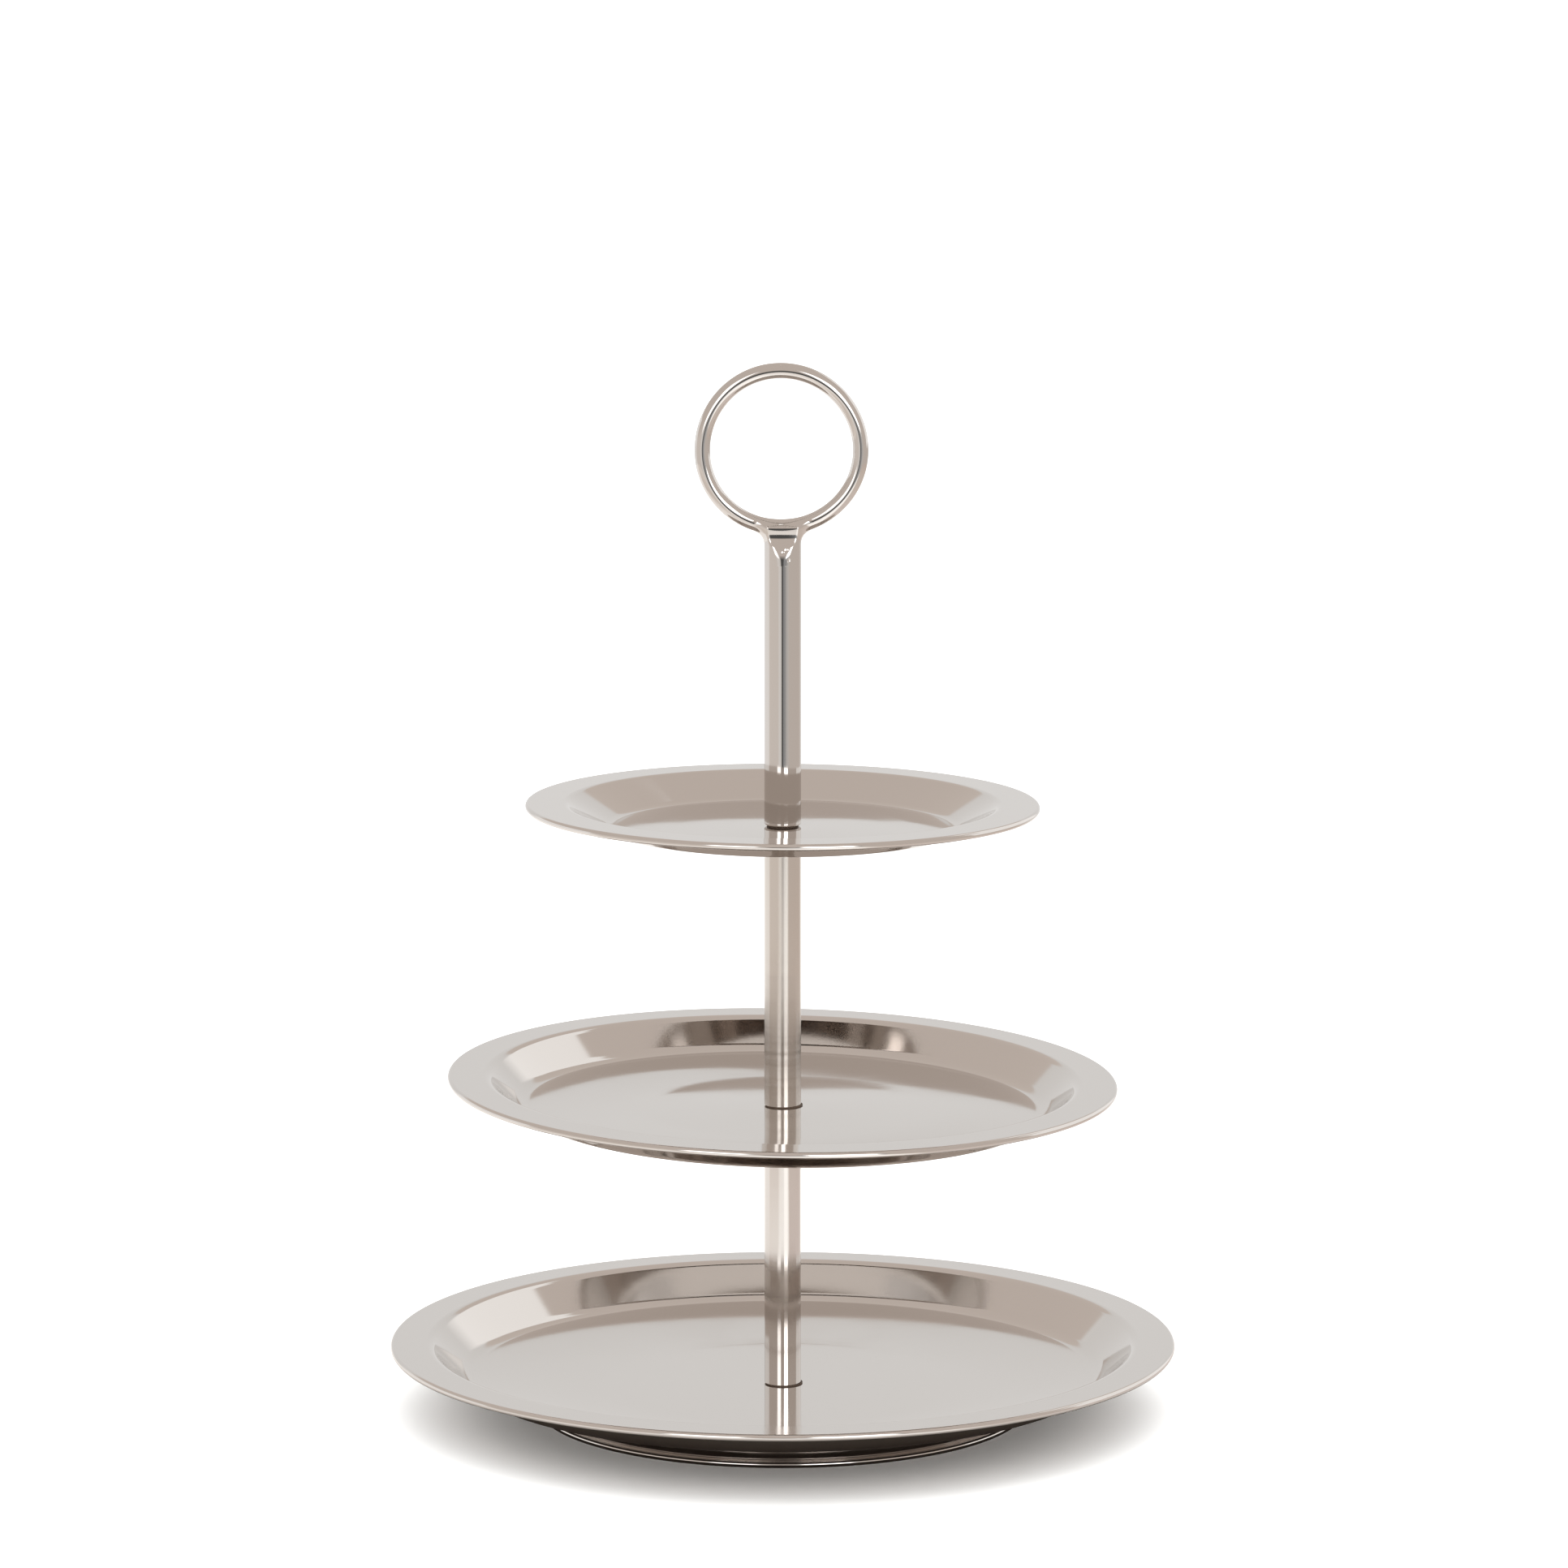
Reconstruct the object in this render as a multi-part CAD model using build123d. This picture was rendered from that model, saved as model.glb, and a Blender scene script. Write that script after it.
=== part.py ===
from build123d import *
import math
import os

os.makedirs("parts", exist_ok=True)

# A three-tier serving stand in polished stainless steel. Millimetres, +Z up. The origin is on
# the posts' common axis, on the table that the foot stands on. The handle's ring lies in XZ.

# Driving dimensions
SHEET = 0.8                   # sheet of the plates and the foot
POST_RADIUS = 7.0             # every post is the same tube
POST_BORE = 5.5               # its inside radius
THREAD_RADIUS = 3.0           # M6 studs and screw, drawn without their thread
TURNING_GAP = 0.05            # radial clearance where one piece turns on a stud
PLUG_LENGTH = 16.0            # threaded plugs pressed into the ends of the posts
STUD_HOLD = 14.0              # how far a stud is fixed into its own post
STUD_REACH = 12.0             # how far it reaches into the post below, from the plate's top
WASHER_THICKNESS = 0.4        # thin plastic washers between post and plate
WASHER_SHIFT = 0.5            # how far a washer's outside is off its hole
WASHER_RADIUS = 7.1
HIDDEN_WASHER_RADIUS = 6.0    # the top one is smaller than its post and stays out of sight

CURL_RADIUS = 1.3             # outside of the rolled edge of a plate
BOTTOM_RADIUS, BOTTOM_RIM, BOTTOM_DEPTH = 150.0, 27.0, 17.4
MIDDLE_RADIUS, MIDDLE_RIM, MIDDLE_DEPTH = 127.5, 129.1, 10.9
TOP_RADIUS, TOP_RIM, TOP_DEPTH = 97.5, 235.0, 8.9
RIM_WIDTH = 15.5              # flat rim of every plate, to where it would meet the straight wall
RIM_BEND = 4.5                # mid-sheet radius of the bend from wall to rim
FLOOR_BEND = 9.0              # and of the bend from floor to wall
FLOOR_SWEEP = 380.0           # radius of the gentle changes of slope in a floor
SEAT_RADIUS = 13.0            # flat of the upper floors under the post, before they fall away
BOTTOM_WALL_RUN, MIDDLE_WALL_RUN, TOP_WALL_RUN = 13.0, 11.8, 16.2
BOTTOM_SWEEP_START, BOTTOM_SWEEP_RISE = 91.3, 4.3
MIDDLE_FALL_END, MIDDLE_FALL = 55.0, 0.9
TOP_FALL_END, TOP_FALL = 44.0, 0.6

FOOT_RADIUS = 94.0
FOOT_CURL = 1.25
FOOT_LAND = 0.1               # height worn off the rolled edge where it meets the table
FOOT_RIM_RUN = 4.0           # rim and rolled edge together
FOOT_WALL_RUN = 6.0
FOOT_BEND = 2.0

RING_RADIUS = 29.65           # to the middle of the bar
RING_BAR = 3.0                # radius of the round bar
RING_CENTRE = 369.4
NECK_SHOULDER = 326.0         # where the ground facets start, front and back
NECK_TOP_HALF = 3.2           # half the neck's thickness under the ring
NECK_SPIGOT = 12.0            # length of the neck inside the upper post
WELD_REACH = 11.0             # how far the ground weld runs out under the ring
WELD_RADIUS = 3.4
WELD_HALF = 2.4

SCREW_HEAD_RADIUS = 5.6
SCREW_HEAD_HEIGHT = 3.4
SCREW_REACH = 11.0            # how far it goes into the lower post
RECESS_LENGTH, RECESS_WIDTH, RECESS_DEPTH = 5.6, 1.1, 2.0
FOOT_WASHER_RADIUS, FOOT_WASHER_HEIGHT = 9.0, 1.5
LOCK_WASHER_RADIUS, LOCK_WASHER_HEIGHT, LOCK_WASHER_SPLIT = 5.3, 1.4, 1.2
LOOSE_HOLE = 3.3

# Heights that follow from them
bottom_floor = BOTTOM_RIM - BOTTOM_DEPTH
middle_floor = MIDDLE_RIM - MIDDLE_DEPTH
top_floor = TOP_RIM - TOP_DEPTH
foot_top = bottom_floor - SHEET
turning_hole = THREAD_RADIUS + TURNING_GAP
ring_underside = RING_CENTRE - RING_RADIUS - RING_BAR


def turn(outline):
    """Turns a closed outline, drawn as (radius, height), about the posts' axis."""
    return revolve(make_face(Plane.XZ * outline), Axis.Z)


def pressed_sheet(upper, bends, curl):
    """A round pressing with its edge rolled under.

    upper is the line of its top side from the hole to where the edge starts to roll. bends are
    mid-sheet radii, one for each corner of that line.
    """
    slopes = [math.atan2(b[1] - a[1], b[0] - a[0]) for a, b in zip(upper, upper[1:])]
    below = [(upper[0][0], upper[0][1] - SHEET)]
    upper_bends, lower_bends = [], []
    for (r, z), before, after, bend in zip(upper[1:], slopes, slopes[1:], bends):
        middle, half_turn = (before + after) / 2, (after - before) / 2
        reach = SHEET / math.cos(half_turn)
        below.append((r + reach * math.sin(middle), z - reach * math.cos(middle)))
        upper_bends.append(bend - math.copysign(SHEET / 2, half_turn))
        lower_bends.append(bend + math.copysign(SHEET / 2, half_turn))
    curl_x, rim = upper[-1]
    curl_z = rim - curl
    inner = curl - SHEET
    below.append((curl_x, rim - SHEET))
    lean = math.sin(math.pi / 4)
    outline = Curve() + [
        FilletPolyline(*upper, radius=upper_bends),
        ThreePointArc(
            (curl_x, rim),
            (curl_x + curl * lean, curl_z - curl * lean),
            (curl_x - curl, curl_z),
        ),
        Line((curl_x - curl, curl_z), (curl_x - inner, curl_z)),
        ThreePointArc(
            (curl_x - inner, curl_z),
            (curl_x + inner * lean, curl_z - inner * lean),
            (curl_x, rim - SHEET),
        ),
        FilletPolyline(*below[::-1], radius=lower_bends[::-1]),
        Line(below[0], upper[0]),
    ]
    return turn(outline)


def plate(outer, rim, floor_line):
    """A plate: floor_line runs from the hole to the foot of the wall."""
    rim_edge = outer - RIM_WIDTH
    upper = floor_line + [(rim_edge, rim), (outer - CURL_RADIUS, rim)]
    bends = [FLOOR_SWEEP] * (len(floor_line) - 2) + [FLOOR_BEND, RIM_BEND]
    return pressed_sheet(upper, bends, CURL_RADIUS)


def domed_floor(floor, fall_end, fall, floor_edge):
    """An upper plate's floor: level under the post, then a little lower out to the wall."""
    return [
        (turning_hole, floor),
        (SEAT_RADIUS, floor),
        (fall_end, floor - fall),
        (floor_edge, floor - fall),
    ]


def foot():
    """An upside-down dish. The bottom of its rolled edge is worn flat where it stands."""
    rim = 2 * FOOT_CURL - FOOT_LAND
    rim_edge = FOOT_RADIUS - FOOT_RIM_RUN
    upper = [
        (LOOSE_HOLE, foot_top),
        (rim_edge - FOOT_WALL_RUN, foot_top),
        (rim_edge, rim),
        (FOOT_RADIUS - FOOT_CURL, rim),
    ]
    return split(pressed_sheet(upper, [FOOT_BEND, FOOT_BEND], FOOT_CURL), Plane.XY, keep=Keep.TOP)


def sleeve(hole, outer, bottom, top):
    """A round piece with a hole: a tube, a plug or a washer."""
    body = Cylinder(outer, top - bottom) - Cylinder(hole, top - bottom)
    return Pos(0, 0, (bottom + top) / 2) * body


def post(bottom, top, bottom_round):
    tube = sleeve(POST_BORE, POST_RADIUS, bottom, top)
    outer_edges = tube.edges().filter_by(GeomType.CIRCLE).group_by(SortBy.RADIUS)[-1]
    return fillet(outer_edges.sort_by(Axis.Z)[0], bottom_round)


def stud(bottom, top):
    rod = Pos(0, 0, (bottom + top) / 2) * Cylinder(THREAD_RADIUS, top - bottom)
    return chamfer(rod.edges().filter_by(GeomType.CIRCLE), 0.6)


def washer(hole, outer, bottom, shift):
    """A thin washer whose outside is off its hole, as punched ones are."""
    disc = Pos(shift, 0, bottom + WASHER_THICKNESS / 2) * Cylinder(outer, WASHER_THICKNESS)
    return disc - Pos(0, 0, bottom) * Cylinder(hole, 4 * WASHER_THICKNESS)


def handle_ring():
    return Pos(0, 0, RING_CENTRE) * Rot(90, 0, 0) * Torus(RING_RADIUS, RING_BAR)


def handle_neck():
    """The weld under the ring, ground to a wedge that runs out on the front and back of the post."""
    top = ring_underside + 2 * RING_BAR
    wedge_side = Polyline(
        (-POST_RADIUS, NECK_SHOULDER),
        (POST_RADIUS, NECK_SHOULDER),
        (NECK_TOP_HALF, ring_underside + RING_BAR / 2),
        (NECK_TOP_HALF, top),
        (-NECK_TOP_HALF, top),
        (-NECK_TOP_HALF, ring_underside + RING_BAR / 2),
        close=True,
    )
    wedge = extrude(make_face(Plane.YZ * wedge_side), POST_RADIUS, both=True)
    round_stock = Pos(0, 0, (NECK_SHOULDER + top) / 2) * Cylinder(POST_RADIUS, top - NECK_SHOULDER)
    weld_side = FilletPolyline(
        (POST_RADIUS, ring_underside - 2 * WELD_RADIUS),
        (POST_RADIUS, ring_underside),
        (WELD_REACH + WELD_RADIUS, ring_underside + 2 * WELD_RADIUS),
        radius=WELD_RADIUS,
    )
    weld_outline = Curve() + [
        weld_side,
        Line(weld_side @ 1, (0, top + WELD_RADIUS)),
        Line((0, top + WELD_RADIUS), (0, ring_underside - 2 * WELD_RADIUS)),
        Line((0, ring_underside - 2 * WELD_RADIUS), weld_side @ 0),
    ]
    half_weld = extrude(make_face(Plane.XZ * weld_outline), WELD_HALF, both=True)
    weld = half_weld + mirror(half_weld, Plane.YZ)
    spigot = Pos(0, 0, NECK_SHOULDER - NECK_SPIGOT / 2) * Cylinder(POST_BORE, NECK_SPIGOT)
    above = Pos(0, 0, RING_CENTRE) * Rot(90, 0, 0) * Cylinder(RING_RADIUS, 4 * POST_RADIUS)
    return spigot + (wedge & round_stock) + weld - above - handle_ring()


def foot_screw(head_top, reach_top):
    """A pan-head screw, driven from below, with a cross recess."""
    head_bottom = head_top - SCREW_HEAD_HEIGHT
    head = Pos(0, 0, (head_top + head_bottom) / 2) * Cylinder(SCREW_HEAD_RADIUS, SCREW_HEAD_HEIGHT)
    head = fillet(head.edges().filter_by(GeomType.CIRCLE).sort_by(Axis.Z)[0], SCREW_HEAD_HEIGHT / 2)
    slot = Box(RECESS_LENGTH, RECESS_WIDTH, 2 * RECESS_DEPTH)
    recess = Pos(0, 0, head_bottom) * (slot + Rot(0, 0, 90) * slot)
    return head - recess + stud(head_top - SCREW_HEAD_HEIGHT / 4, reach_top)


def lock_washer(bottom, top):
    ring = sleeve(LOOSE_HOLE, LOCK_WASHER_RADIUS, bottom, top)
    split_cut = Rot(20, 0, 0) * Box(2 * LOCK_WASHER_RADIUS, LOCK_WASHER_SPLIT, 8 * LOCK_WASHER_HEIGHT)
    return ring - Pos(LOCK_WASHER_RADIUS, 0, (bottom + top) / 2) * split_cut


lower_bottom = bottom_floor + WASHER_THICKNESS
lower_top = middle_floor - SHEET
middle_bottom = middle_floor + WASHER_THICKNESS
middle_top = top_floor - SHEET
upper_bottom = top_floor + WASHER_THICKNESS
foot_washer_bottom = foot_top - SHEET - FOOT_WASHER_HEIGHT
lock_washer_bottom = foot_washer_bottom - LOCK_WASHER_HEIGHT

nodes = {
    "handle_ring": handle_ring(),
    "handle_neck": handle_neck(),
    "upper_post": post(upper_bottom, NECK_SHOULDER, 1.2),
    "upper_post_plug": sleeve(THREAD_RADIUS, POST_BORE, upper_bottom, upper_bottom + PLUG_LENGTH),
    "upper_stud": stud(top_floor - STUD_REACH, upper_bottom + STUD_HOLD),
    "upper_washer": washer(turning_hole, HIDDEN_WASHER_RADIUS, top_floor, 0),
    "top_plate": plate(
        TOP_RADIUS,
        TOP_RIM,
        domed_floor(top_floor, TOP_FALL_END, TOP_FALL, TOP_RADIUS - RIM_WIDTH - TOP_WALL_RUN),
    ),
    "middle_post": post(middle_bottom, middle_top, 0.3),
    "middle_post_top_plug": sleeve(turning_hole, POST_BORE, middle_top - PLUG_LENGTH, middle_top),
    "middle_post_bottom_plug": sleeve(
        THREAD_RADIUS, POST_BORE, middle_bottom, middle_bottom + PLUG_LENGTH
    ),
    "middle_stud": stud(middle_floor - STUD_REACH, middle_bottom + STUD_HOLD),
    "middle_washer": washer(turning_hole, WASHER_RADIUS, middle_floor, WASHER_SHIFT),
    "middle_plate": plate(
        MIDDLE_RADIUS,
        MIDDLE_RIM,
        domed_floor(
            middle_floor, MIDDLE_FALL_END, MIDDLE_FALL, MIDDLE_RADIUS - RIM_WIDTH - MIDDLE_WALL_RUN
        ),
    ),
    "lower_post": post(lower_bottom, lower_top, 0.3),
    "lower_post_top_plug": sleeve(turning_hole, POST_BORE, lower_top - PLUG_LENGTH, lower_top),
    "lower_post_bottom_plug": sleeve(THREAD_RADIUS, POST_BORE, lower_bottom, lower_bottom + PLUG_LENGTH),
    "lower_washer": washer(LOOSE_HOLE, WASHER_RADIUS, bottom_floor, WASHER_SHIFT),
    "bottom_plate": plate(
        BOTTOM_RADIUS,
        BOTTOM_RIM,
        [
            (LOOSE_HOLE, bottom_floor),
            (BOTTOM_SWEEP_START, bottom_floor),
            (BOTTOM_RADIUS - RIM_WIDTH - BOTTOM_WALL_RUN, bottom_floor + BOTTOM_SWEEP_RISE),
        ],
    ),
    "foot": foot(),
    "foot_washer": sleeve(LOOSE_HOLE, FOOT_WASHER_RADIUS, foot_washer_bottom, foot_top - SHEET),
    "lock_washer": lock_washer(lock_washer_bottom, foot_washer_bottom),
    "foot_screw": foot_screw(lock_washer_bottom, lower_bottom + SCREW_REACH),
}

for node, shape in nodes.items():
    export_step(shape, f"parts/{node}.step")
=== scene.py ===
"""A three-tier serving stand in polished stainless steel, on a white sweep in a soft studio."""

import math

import bpy
import numpy as np
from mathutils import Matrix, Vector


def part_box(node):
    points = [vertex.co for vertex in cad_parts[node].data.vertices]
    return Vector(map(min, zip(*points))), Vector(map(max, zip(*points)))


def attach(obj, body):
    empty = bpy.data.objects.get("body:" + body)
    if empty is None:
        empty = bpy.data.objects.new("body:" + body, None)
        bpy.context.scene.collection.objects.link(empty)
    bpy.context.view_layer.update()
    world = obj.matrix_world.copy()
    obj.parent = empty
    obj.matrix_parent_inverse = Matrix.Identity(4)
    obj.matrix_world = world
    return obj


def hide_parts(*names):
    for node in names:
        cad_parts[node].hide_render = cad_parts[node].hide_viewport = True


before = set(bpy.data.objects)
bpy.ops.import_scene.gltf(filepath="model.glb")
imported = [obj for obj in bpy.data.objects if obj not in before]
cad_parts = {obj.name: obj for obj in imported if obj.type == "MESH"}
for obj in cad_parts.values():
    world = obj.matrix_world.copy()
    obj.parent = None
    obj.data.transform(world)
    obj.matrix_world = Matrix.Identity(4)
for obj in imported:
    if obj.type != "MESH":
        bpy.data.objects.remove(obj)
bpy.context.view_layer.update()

bl_info = {
    "name": "Tiered serving stand",
    "version": (1, 0, 0),
    "blender": (4, 5, 0),
    "location": "View3D > Sidebar > Stand",
    "description": "Pressed plates, turned posts and a ring handle around a fixed frame",
    "category": "Add Mesh",
}

MM = 0.001
# Each plate's floor from its hole to the foot of its wall, as radius and height above the
# lowest part of the floor, in millimetres. The upper two are domed a little by their posts.
PLATE_FLOORS = {
    "bottom_plate": ((3.3, 0.0), (91.3, 0.0), (121.5, 4.3)),
    "middle_plate": ((3.05, 0.9), (13.0, 0.9), (55.0, 0.0), (100.2, 0.0)),
    "top_plate": ((3.05, 0.6), (13.0, 0.6), (44.0, 0.0), (65.8, 0.0)),
}
# How far each rim leans from level, as rise per unit of distance to the right and to the back.
PLATE_LEANS = {
    "bottom_plate": (0, 0),
    "middle_plate": (-0.0192, 0.0178),
    "top_plate": (-0.006, -0.0028),
}
POSTS = ("lower_post", "middle_post", "upper_post")
POST_BODIES = {"lower_post": "base", "middle_post": "middle_post", "upper_post": "handle"}
POST_RADIUS = 7 * MM
STUD_RADIUS = 3 * MM
PLATE_STEPS = 288  # points round a plate, enough that its rim shows no corners
PLATE_BODIES = {"bottom_plate": "base", "middle_plate": "middle_plate", "top_plate": "top_plate"}


# ---------------------------------------------------------------- settings


def length(name, description, default, low=0.0, high=1.0):
    return bpy.props.FloatProperty(
        name=name,
        description=description,
        default=default,
        min=low,
        max=high,
        precision=5,
        subtype="DISTANCE",
        unit="LENGTH",
    )


def colour(name, description, default):
    return bpy.props.StringProperty(name=name, description=description, default=default)


class StandSizes(bpy.types.PropertyGroup):
    """Sizes that the pressings, tubes and weld are made to."""

    sheet: length("Sheet", "Thickness of the plates and the foot", 0.8 * MM)
    rim_width: length("Rim width", "Rim of a plate, to where it would meet a sharp wall", 15.5 * MM)
    curl: length("Rolled edge", "Outside radius of a plate's rolled edge", 1.3 * MM)
    rim_bend: length("Rim bend", "Radius of the bend from wall to rim, mid-sheet", 4.5 * MM)
    floor_bend: length("Floor bend", "Radius of the bend from floor to wall, mid-sheet", 9 * MM)
    sweep: length("Floor sweep", "Radius of the gentle changes of slope in a floor", 380 * MM)
    dimple: length("Dimple", "How far a post presses the sheet down", 0.06 * MM)
    waviness: length("Waviness", "How far the pressed sheet is from true", 0.035 * MM)
    foot_curl: length("Foot edge", "Outside radius of the foot's rolled edge", 1.25 * MM)
    foot_rim: length("Foot rim", "Flat rim of the foot, rolled edge included", 4 * MM)
    foot_wall: length("Foot wall run", "How far the foot's wall moves in", 6 * MM)
    foot_bend: length("Foot bend", "Radius of the foot's bends, mid-sheet", 2 * MM)
    tube_wall: length("Tube wall", "Wall of the posts", 1.5 * MM)
    bar: length("Ring bar", "Radius of the ring's round bar", 3 * MM)
    weld: length("Weld fillet", "Radius of the weld that is ground into the ring", 3.2 * MM)
    pitch: length("Pitch", "Pitch of the studs' thread", 1 * MM)


class StandFinish(bpy.types.PropertyGroup):
    """Colours and polish of each material."""

    steel: colour("Steel", "Stainless steel as it reflects white", "#CFCAC6")
    brushed: colour("Brushed steel", "The middle post, brushed round the tube", "#CBC5BF")
    cut_steel: colour("Cut steel", "Studs and plugs as they come off the lathe", "#A9A7A3")
    zinc: colour("Zinc plate", "Screw and washers under the foot", "#B4B8BC")
    nylon: colour("Nylon", "Punched nylon washers", "#5A4636")
    paper: colour("Sweep", "White paper that the stand is on", "#F4F4F3")
    polish: bpy.props.FloatProperty(
        name="Polish", description="Roughness of the mirror polish", default=0.06, min=0, max=1
    )
    brush: bpy.props.FloatProperty(
        name="Brush", description="Roughness of the brushed post", default=0.2, min=0, max=1
    )


class StandStudio(bpy.types.PropertyGroup):
    """The camera and what the steel mirrors."""

    lens: bpy.props.FloatProperty(
        name="Lens", description="Focal length in millimetres", default=165.8, min=1, max=500
    )
    distance: length("Distance", "Camera to the posts' axis, along the floor", 2.6977, high=10)
    height: length("Height", "Camera above the table", 0.6766, high=10)
    pitch: bpy.props.FloatProperty(
        name="Pitch", description="How far the camera looks down", default=math.radians(9.15),
        subtype="ANGLE", unit="ROTATION",
    )
    overhead: bpy.props.FloatProperty(
        name="Overhead", description="Power of the overhead softbox in watts", default=15, min=0
    )
    ambient: bpy.props.FloatProperty(
        name="Ambient", description="Strength of the white light from all round", default=2.0, min=0
    )


def settings():
    return bpy.context.scene.stand_sizes, bpy.context.scene.stand_finish, bpy.context.scene.stand_studio


# ---------------------------------------------------------------- mesh helpers


def new_piece(name, vertices, faces, body, material, sharp=40):
    """A smooth-shaded mesh piece that rides on a body of the frame."""
    mesh = bpy.data.meshes.new(name)
    mesh.from_pydata([tuple(v) for v in vertices], [], [tuple(f) for f in faces])
    mesh.validate()
    mesh.shade_smooth()
    mesh.set_sharp_from_angle(angle=math.radians(sharp))
    mesh.materials.append(material)
    piece = bpy.data.objects.new(name, mesh)
    bpy.context.scene.collection.objects.link(piece)
    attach(piece, body)
    return piece


def arc(centre, radius, start, end, steps):
    """Points on an arc in (radius, height), angles in degrees, both ends included."""
    angles = np.radians(np.linspace(start, end, steps + 1))
    return [(centre[0] + radius * math.cos(a), centre[1] + radius * math.sin(a)) for a in angles]


def rounded(points, radii, steps=12, spacing=4 * MM, support=0.25 * MM):
    """A polyline with each inner corner rounded. Long runs get points, close to a bend too."""
    corners = [([points[0]], points[0])]
    for before, at, after, radius in zip(points, points[1:], points[2:], radii):
        into = np.subtract(at, before) / math.dist(at, before)
        out = np.subtract(after, at) / math.dist(at, after)
        turn = math.atan2(into[0] * out[1] - into[1] * out[0], float(np.dot(into, out)))
        side = math.copysign(1, turn)
        start = np.subtract(at, into * radius * math.tan(abs(turn) / 2))
        centre = start + side * radius * np.array([-into[1], into[0]])
        first = math.degrees(math.atan2(start[1] - centre[1], start[0] - centre[0]))
        corners.append((arc(centre, radius, first, first + math.degrees(turn), steps), at))
    corners.append(([points[-1]], points[-1]))
    line = list(corners[0][0])
    for bend, _ in corners[1:]:
        start, end = np.array(line[-1]), np.array(bend[0])
        run = float(np.linalg.norm(end - start))
        count = max(1, round((run - 2 * support) / spacing))
        if run > 3 * support:
            for share in np.linspace(support / run, 1 - support / run, count + 1):
                line.append(tuple(start + (end - start) * share))
        line += bend if run > 1e-9 else bend[1:]
    return line


def lathe(outline, steps, warp=None):
    """Turns a closed outline of (radius, height) about the posts' axis.

    warp gives the lift of a point from its radius, height and angle.
    """
    angles = np.arange(steps) * 2 * math.pi / steps
    section = np.array(outline)
    radius, height = section[:, :1], section[:, 1:]
    lift = warp(radius, height, angles[None, :]) if warp else 0 * radius * angles
    vertices = np.stack(
        [radius * np.cos(angles), radius * np.sin(angles), height + lift], axis=2
    ).reshape(-1, 3)
    faces = []
    for i in range(len(section)):
        j = (i + 1) % len(section)
        for a in range(steps):
            b = (a + 1) % steps
            faces.append((i * steps + a, j * steps + a, j * steps + b, i * steps + b))
    return vertices, faces


def pressing(upper, bends, curl, sheet):
    """Outline of a round pressing with its edge rolled under.

    upper is the line of its top side, from the hole to where the edge starts to roll. bends are
    mid-sheet radii, one for each corner of that line.
    """
    slopes = [math.atan2(b[1] - a[1], b[0] - a[0]) for a, b in zip(upper, upper[1:])]
    below, upper_bends, lower_bends = [(upper[0][0], upper[0][1] - sheet)], [], []
    for (radius, height), before, after, bend in zip(upper[1:], slopes, slopes[1:], bends):
        middle, half_turn = (before + after) / 2, (after - before) / 2
        reach = sheet / math.cos(half_turn)
        below.append((radius + reach * math.sin(middle), height - reach * math.cos(middle)))
        upper_bends.append(bend - math.copysign(sheet / 2, half_turn))
        lower_bends.append(bend + math.copysign(sheet / 2, half_turn))
    roll = (upper[-1][0], upper[-1][1] - curl)
    below.append((upper[-1][0], upper[-1][1] - sheet))
    return (
        rounded(upper, upper_bends)
        + arc(roll, curl, 90, -180, 30)[1:]
        + arc(roll, curl - sheet, -180, 90, 20)
        + rounded(below[::-1], lower_bends[::-1])[1:]
    )


def threaded_rod(radius, pitch, depth, bottom, top, steps=48, per_turn=10):
    """A rod with a real helical thread that fades out at both ends."""
    rows = int((top - bottom) / pitch * per_turn)
    angles = np.arange(steps) * 2 * math.pi / steps
    heights = np.linspace(bottom, top, rows + 1)[:, None]
    phase = (heights / pitch - angles / (2 * math.pi)) % 1
    groove = np.clip(np.abs(phase - 0.5) * 2.6 - 0.15, 0, 1)
    end = np.clip(np.minimum(heights - bottom, top - heights) / (0.8 * pitch), 0, 1)
    radii = (radius - depth * (1 - end)) - depth * (1 - groove) * end
    vertices = np.stack([radii * np.cos(angles), radii * np.sin(angles), heights + 0 * radii], axis=2)
    vertices = list(vertices.reshape(-1, 3)) + [(0, 0, bottom), (0, 0, top)]
    faces = []
    for row in range(rows):
        for a in range(steps):
            b = (a + 1) % steps
            low, high = row * steps, (row + 1) * steps
            faces.append((low + a, low + b, high + b, high + a))
    last = rows * steps
    for a in range(steps):
        b = (a + 1) % steps
        faces.append((b, a, len(vertices) - 2))
        faces.append((last + a, last + b, len(vertices) - 1))
    return vertices, faces


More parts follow.
